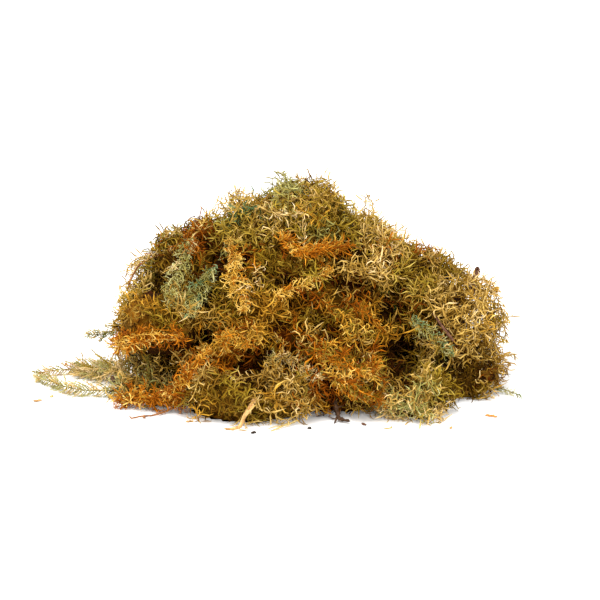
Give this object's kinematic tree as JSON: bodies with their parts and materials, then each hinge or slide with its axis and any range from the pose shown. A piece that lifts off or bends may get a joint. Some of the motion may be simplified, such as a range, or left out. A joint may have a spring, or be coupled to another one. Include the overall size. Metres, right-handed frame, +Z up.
{
  "type": "clump of dried moss",
  "caption": "Loose heap of dried moss: tangled tufts with curled shoots, orange and sage fronds laid over them, trailing strands, small twigs and fallen crumbs.",
  "frame": {"origin": "on the ground under the middle of the heap's outline, trailing strands and crumbs included", "axes": "+Z up; +X towards the rounded right lobe, away from the trailing strands; -Y towards the front face with the orange fronds"},
  "size_m": [0.2184, 0.1408, 0.0949],
  "materials": {
    "straw_moss": "matt dry moss leaf, pale straw",
    "olive_moss": "matt dry moss leaf, brown olive",
    "rust_moss": "matt dry moss leaf, orange rust",
    "gold_moss": "matt dry moss leaf, golden",
    "sage_moss": "matt dry moss leaf, grey green",
    "bark": "rough dry bark and stem"
  },
  "bodies": {
    "root": {"middle_tuft": "olive_moss", "right_lobe_tuft": "straw_moss", "left_flank_tuft": "straw_moss", "back_middle_tuft": "olive_moss", "front_left_foot_tuft": "olive_moss", "front_left_tuft": "olive_moss", "front_middle_tuft": "straw_moss", "front_right_tuft": "rust_moss", "back_left_tuft": "olive_moss", "back_right_tuft": "straw_moss", "right_flank_tuft": "olive_moss", "right_foot_tuft": "olive_moss", "left_shoulder_tuft": "olive_moss", "right_shoulder_tuft": "straw_moss", "back_shoulder_tuft": "olive_moss", "left_crown_tuft": "olive_moss", "crown_tuft": "straw_moss", "front_foot_tuft": "straw_moss", "hanging_gold_frond": "gold_moss", "upper_left_rust_frond": "rust_moss", "bright_orange_frond": "rust_moss", "drooping_rust_frond": "rust_moss", "middle_orange_frond": "rust_moss", "gold_strand": "gold_moss", "right_rust_frond": "rust_moss", "front_rust_frond": "rust_moss", "left_sage_frond": "sage_moss", "middle_sage_frond": "sage_moss", "right_green_frond": "sage_moss", "front_straw_frond": "straw_moss", "lobe_stem": "bark", "lower_left_orange_frond": "rust_moss", "trailing_straw_frond": "straw_moss", "trailing_sage_frond": "sage_moss", "left_green_sprig": "sage_moss", "right_rim_frond": "straw_moss", "right_curl_frond": "straw_moss", "right_foot_sprig": "sage_moss", "top_sprig": "straw_moss", "left_shoulder_sprig": "straw_moss", "dark_twig": "bark", "budded_twig": "bark", "bark_stub": "bark", "arched_stem": "bark", "front_dry_stem": "bark", "front_forked_stem": "bark", "dark_root": "bark", "left_chip": "bark", "left_flake": "bark", "front_chip": "bark", "dark_seed": "bark", "small_seed": "bark", "straw_sliver": "bark", "straw_grain": "bark", "orange_splinter": "bark", "brown_bit": "bark"}
  },
  "joints": []
}
